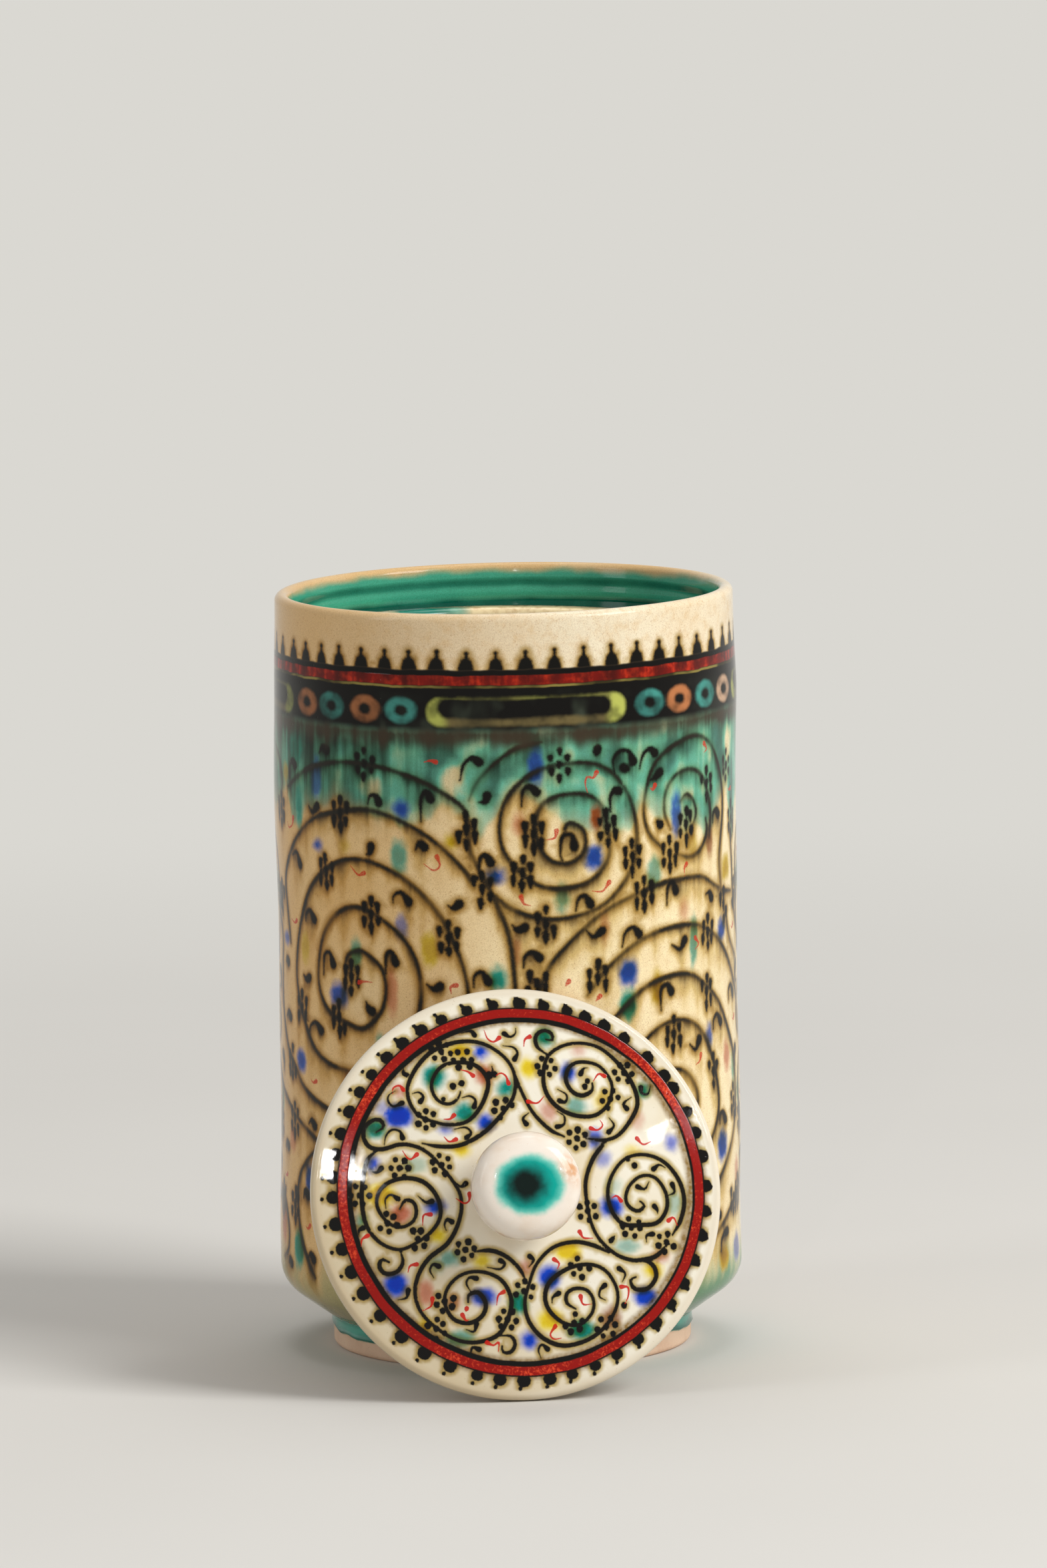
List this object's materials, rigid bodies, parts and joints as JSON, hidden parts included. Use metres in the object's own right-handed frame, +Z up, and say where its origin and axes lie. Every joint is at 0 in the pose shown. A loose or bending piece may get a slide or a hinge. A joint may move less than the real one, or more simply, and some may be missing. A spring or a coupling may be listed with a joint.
{
  "type": "lidded storage jar",
  "caption": "Cylindrical glazed earthenware storage jar on a turned foot ring, with an inner seat ring for its domed lid and knob; the lid leans on the wall.",
  "frame": {"origin": "on the ground, in the middle of what the jar and its leaning lid cover together", "axes": "+Z up along the jar's axis, -Y towards the lid and its knob, +X to the right seen from the lid's side"},
  "size_m": [0.1218, 0.165, 0.2],
  "materials": {
    "painted_glaze": "glossy painted glaze on buff clay",
    "bare_clay": "matt unglazed fired clay",
    "turquoise_glaze": "glossy turquoise glaze",
    "cream_glaze": "glossy painted cream glaze",
    "knob_glaze": "glossy cream glaze"
  },
  "bodies": {
    "jar": {"jar_body": "painted_glaze", "foot_ring": "bare_clay", "lid_seat_ring": "turquoise_glaze"},
    "lid": {"lid_plate": "cream_glaze", "lid_knob": "knob_glaze"}
  },
  "joints": [
    {"name": "lid_lift", "type": "slide", "parent": "jar", "child": "lid", "axis": [0.1373, -0.9528, 0.2706], "range_m": [0, 0.06]}
  ]
}
